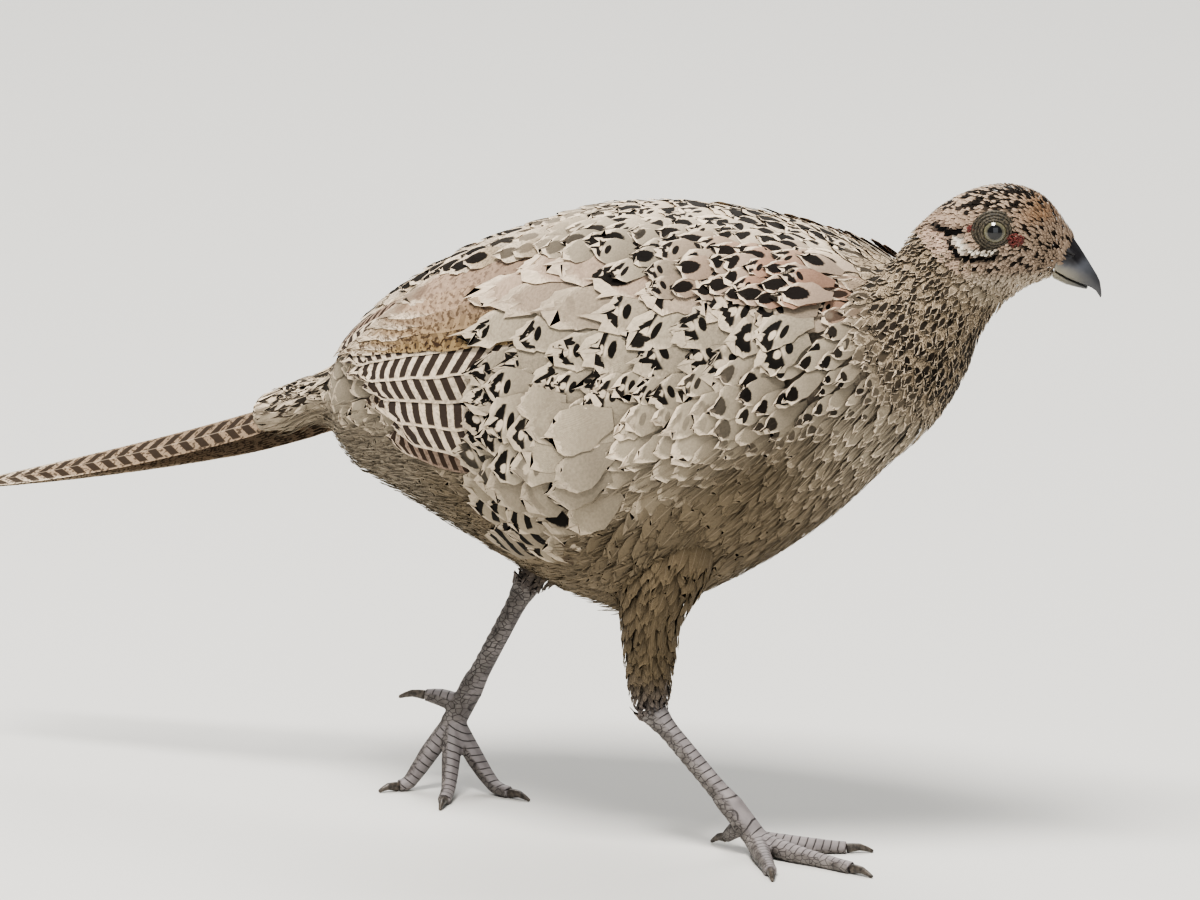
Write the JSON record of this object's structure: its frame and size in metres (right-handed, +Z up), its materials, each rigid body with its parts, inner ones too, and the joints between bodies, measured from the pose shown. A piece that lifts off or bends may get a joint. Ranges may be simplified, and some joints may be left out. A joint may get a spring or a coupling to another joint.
{
  "type": "hen common pheasant model",
  "caption": "Life-size hen common pheasant in mid stride, head turned slightly left, folded wings and long drooping tail; a rigid still model that stands on both feet.",
  "frame": {"origin": "middle of the bird's extents, at the floor it stands on", "axes": "+X towards the bird's bill, +Y to its left side, +Z up"},
  "size_m": [0.435, 0.1124, 0.2327],
  "materials": {
    "plumage": "soft mottled buff and brown feathers",
    "wing_feathers": "smooth pale buff feathers with dark brown marks",
    "tail_feathers": "smooth brown barred feathers",
    "bill_horn": "blue-grey horn with a slight sheen",
    "eye": "clear and glossy, grey-yellow iris",
    "leg_scales": "dry scaled skin",
    "claw_horn": "smooth dark horn"
  },
  "bodies": {
    "root": {"torso": "plumage", "neck": "plumage", "head": "plumage", "bill_upper": "bill_horn", "bill_lower": "bill_horn", "tail": "tail_feathers", "eye_right": "eye", "eye_left": "eye", "wing_right": "wing_feathers", "wing_left": "wing_feathers", "thigh_right": "plumage", "thigh_left": "plumage", "shank_right": "leg_scales", "shank_left": "leg_scales", "foot_right": "leg_scales", "foot_left": "leg_scales", "claw_inner_right": "claw_horn", "claw_middle_right": "claw_horn", "claw_outer_right": "claw_horn", "claw_hind_right": "claw_horn", "claw_inner_left": "claw_horn", "claw_middle_left": "claw_horn", "claw_outer_left": "claw_horn", "claw_hind_left": "claw_horn"}
  },
  "joints": []
}
